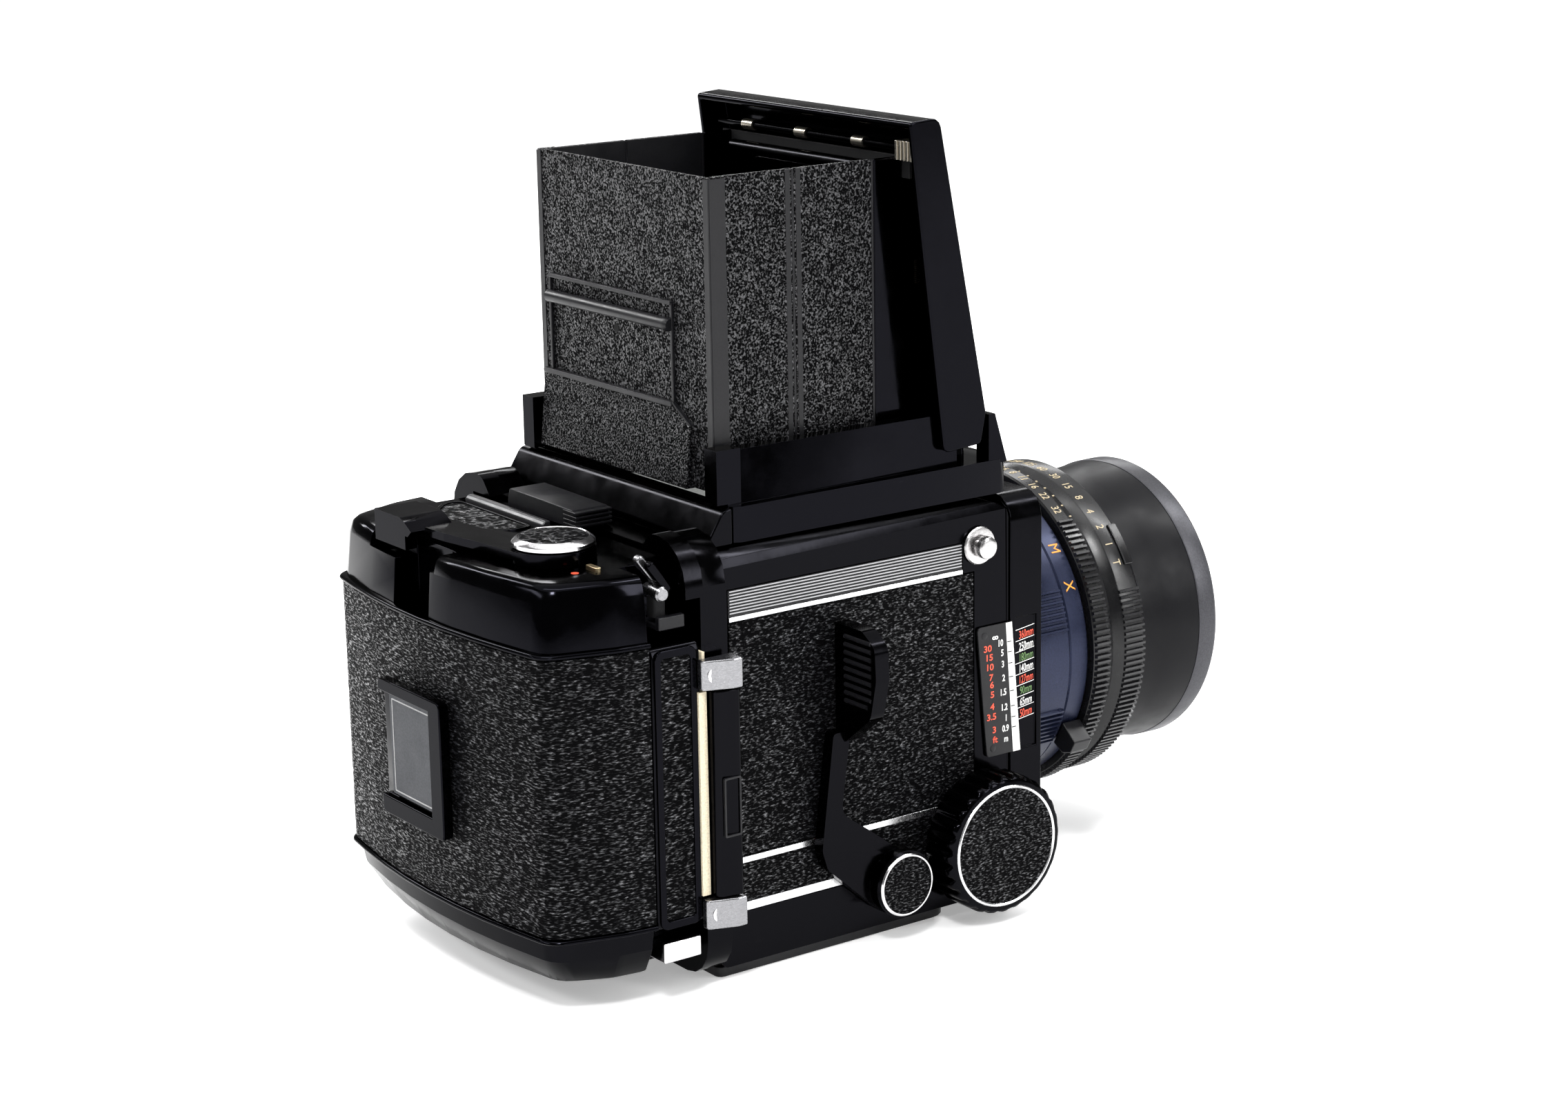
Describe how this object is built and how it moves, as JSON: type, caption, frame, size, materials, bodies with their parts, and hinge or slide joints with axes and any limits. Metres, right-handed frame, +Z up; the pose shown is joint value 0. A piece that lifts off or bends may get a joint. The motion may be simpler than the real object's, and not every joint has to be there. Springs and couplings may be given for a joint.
{
  "type": "medium format reflex camera",
  "caption": "Medium-format reflex camera with a folding waist-level hood, bellows focusing, a flared-front lens and a revolving roll-film back.",
  "frame": {"origin": "middle of the base plate's underside, under the lens axis plane", "axes": "-Y the way the lens looks, +Z up, -X the viewer's right-hand side"},
  "size_m": [0.1375, 0.2464, 0.2213],
  "materials": {
    "black_enamel": "gloss black enamel",
    "satin_black": "satin black",
    "leatherette": "coarse-grained black covering",
    "crackle_paint": "charcoal wrinkle paint",
    "anodised_blue": "dark anodised with a bluish sheen",
    "chrome": "polished chrome",
    "brushed_silver": "brushed",
    "glass": "coated optical glass",
    "ground_glass": "ground matte glass",
    "mirror": "front-surface mirror",
    "bellows_cloth": "black pleated cloth",
    "spool_plastic": "matte black",
    "cream_paint": "cream-edged plate"
  },
  "bodies": {
    "camera_body": {"body_shell": "black_enamel", "base_plate": "satin_black", "tripod_bush": "chrome", "right_covering": "leatherette", "left_covering": "leatherette", "right_nameplate": "brushed_silver", "left_nameplate": "brushed_silver", "right_trim": "brushed_silver", "left_trim": "brushed_silver", "right_strap_stud": "chrome", "left_strap_stud": "chrome", "scale_plate": "satin_black", "rear_top_cover": "black_enamel", "finder_base": "black_enamel", "focusing_screen": "ground_glass", "hood_lid": "black_enamel"},
    "front_carriage": {"front_standard": "black_enamel", "right_focus_rack": "brushed_silver", "left_focus_rack": "brushed_silver", "bellows": "bellows_cloth", "lens_barrel": "anodised_blue", "front_cone": "satin_black", "front_element": "glass", "rear_element": "glass", "leaf_shutter": "satin_black"},
    "lock_ring": {"lens_lock_ring": "anodised_blue"},
    "aperture_control": {"aperture_ring": "satin_black"},
    "speed_control": {"shutter_speed_ring": "satin_black"},
    "sync_control": {"sync_lever": "satin_black"},
    "focus_shaft": {"pinion_shaft": "brushed_silver", "right_focus_knob": "satin_black", "left_focus_knob": "satin_black"},
    "cocking": {"cocking_lever": "black_enamel"},
    "release": {"shutter_button": "chrome"},
    "mirror": {"reflex_mirror": "mirror"},
    "film_back": {"revolving_adapter": "black_enamel", "holder_frame": "black_enamel", "holder_top_cap": "black_enamel", "holder_bottom_cap": "black_enamel", "pressure_plate": "satin_black"},
    "back_door": {"holder_door": "leatherette", "memo_clip": "black_enamel"},
    "slide": {"dark_slide": "cream_paint", "slide_handle": "black_enamel", "upper_slide_clip": "brushed_silver", "lower_slide_clip": "brushed_silver"},
    "upper_lock": {"upper_holder_lock": "chrome"},
    "lower_lock": {"lower_holder_lock": "chrome"},
    "interlock": {"interlock_slider": "satin_black"},
    "advance": {"advance_lever": "black_enamel", "advance_lever_cap": "chrome"},
    "take_up": {"take_up_spool": "spool_plastic"},
    "supply": {"supply_spool": "spool_plastic"},
    "right_front": {"right_front_leaf": "crackle_paint"},
    "right_rear": {"right_rear_leaf": "crackle_paint"},
    "rear_panel": {"hood_rear_panel": "crackle_paint"},
    "left_front": {"left_front_leaf": "crackle_paint"},
    "left_rear": {"left_rear_leaf": "crackle_paint"},
    "magnifier": {"magnifier_frame": "black_enamel", "magnifier_lens": "glass"}
  },
  "joints": [
    {"name": "focus_slide", "type": "slide", "parent": "camera_body", "child": "front_carriage", "axis": [0, -1, 0], "range_m": [0, 0.046], "deforming": ["bellows"]},
    {"name": "focus_knob_turn", "type": "hinge", "parent": "camera_body", "child": "focus_shaft", "pos_m": [0, -0.047, 0.023], "axis": [1, 0, 0], "range_deg": [-5, 420]},
    {"name": "lens_lock_turn", "type": "hinge", "parent": "front_carriage", "child": "lock_ring", "pos_m": [0, -0.0725, 0.0632], "axis": [0, 1, 0], "range_deg": [0, 40]},
    {"name": "aperture_turn", "type": "hinge", "parent": "front_carriage", "child": "aperture_control", "pos_m": [0, -0.0957, 0.0632], "axis": [0, 1, 0], "range_deg": [-30, 60]},
    {"name": "shutter_speed_turn", "type": "hinge", "parent": "front_carriage", "child": "speed_control", "pos_m": [0, -0.1047, 0.0632], "axis": [0, 1, 0], "range_deg": [-90, 90]},
    {"name": "sync_lever_turn", "type": "hinge", "parent": "front_carriage", "child": "sync_control", "pos_m": [0, -0.092, 0.0632], "axis": [0, 1, 0], "range_deg": [0, 25]},
    {"name": "cocking_lever_swing", "type": "hinge", "parent": "camera_body", "child": "cocking", "pos_m": [-0.052, -0.0165, 0.0172], "axis": [1, 0, 0], "range_deg": [0, 40], "stiffness_Nm_per_rad": 0.1, "springref_deg": -22.92},
    {"name": "shutter_press", "type": "slide", "parent": "camera_body", "child": "release", "axis": [0, 1, 0], "range_m": [0, 0.003], "stiffness_N_per_m": 300, "springref_m": -0.002},
    {"name": "mirror_swing", "type": "hinge", "parent": "camera_body", "child": "mirror", "pos_m": [0, 0.029, 0.104], "axis": [-1, 0, 0], "range_deg": [0, 45]},
    {"name": "back_revolve", "type": "hinge", "parent": "camera_body", "child": "film_back", "pos_m": [0, 0.0388, 0.0632], "axis": [0, 1, 0], "range_deg": [0, 90]},
    {"name": "holder_door_swing", "type": "hinge", "parent": "film_back", "child": "back_door", "pos_m": [0.0597, 0.063, 0.024], "axis": [0, 0, -1], "range_deg": [0, 100]},
    {"name": "dark_slide_pull", "type": "slide", "parent": "film_back", "child": "slide", "axis": [-1, 0, 0], "range_m": [0, 0.095]},
    {"name": "upper_lock_slide", "type": "slide", "parent": "film_back", "child": "upper_lock", "axis": [-1, 0, 0], "range_m": [0, 0.004]},
    {"name": "lower_lock_slide", "type": "slide", "parent": "film_back", "child": "lower_lock", "axis": [-1, 0, 0], "range_m": [0, 0.004]},
    {"name": "interlock_slide", "type": "slide", "parent": "film_back", "child": "interlock", "axis": [1, 0, 0], "range_m": [0, 0.006]},
    {"name": "advance_swing", "type": "hinge", "parent": "film_back", "child": "advance", "pos_m": [-0.028, 0.071, 0.116], "axis": [0, 0, 1], "range_deg": [0, 150], "stiffness_Nm_per_rad": 0.02, "springref_deg": -34.38},
    {"name": "take_up_turn", "type": "hinge", "parent": "film_back", "child": "take_up", "pos_m": [-0.038, 0.075, 0.03], "axis": [0, 0, 1], "range_deg": [-10, 310]},
    {"name": "supply_turn", "type": "hinge", "parent": "film_back", "child": "supply", "pos_m": [0.038, 0.075, 0.03], "axis": [0, 0, 1], "range_deg": [-10, 250]},
    {"name": "hood_fold", "type": "hinge", "parent": "camera_body", "child": "right_front", "pos_m": [-0.0385, -0.0232, 0.1295], "axis": [0, 0, 1], "range_deg": [-80, 0]},
    {"name": "right_rear_fold", "type": "hinge", "parent": "right_front", "child": "right_rear", "pos_m": [-0.0399, 0.0026, 0.1295], "axis": [0, 0, 1], "range_deg": [-2, 162]},
    {"name": "rear_panel_fold", "type": "hinge", "parent": "right_rear", "child": "rear_panel", "pos_m": [-0.0385, 0.0284, 0.1295], "axis": [0, 0, 1], "range_deg": [-82, 2]},
    {"name": "left_front_fold", "type": "hinge", "parent": "camera_body", "child": "left_front", "pos_m": [0.0385, -0.0232, 0.1295], "axis": [0, 0, 1], "range_deg": [-2, 82]},
    {"name": "left_rear_fold", "type": "hinge", "parent": "left_front", "child": "left_rear", "pos_m": [0.0399, 0.0026, 0.1295], "axis": [0, 0, 1], "range_deg": [-162, 2]},
    {"name": "magnifier_swing", "type": "hinge", "parent": "camera_body", "child": "magnifier", "pos_m": [0, -0.03, 0.207], "axis": [1, 0, 0], "range_deg": [0, 90]}
  ],
  "couplings": [
    {"joint": "focus_knob_turn", "follows": "focus_slide", "rad_per_m": 157.5},
    {"joint": "take_up_turn", "follows": "advance_swing", "ratio": 2},
    {"joint": "supply_turn", "follows": "advance_swing", "ratio": 1.6},
    {"joint": "right_rear_fold", "follows": "hood_fold", "ratio": -2},
    {"joint": "rear_panel_fold", "follows": "hood_fold", "ratio": 1},
    {"joint": "left_front_fold", "follows": "hood_fold", "ratio": -1},
    {"joint": "left_rear_fold", "follows": "hood_fold", "ratio": 2}
  ]
}
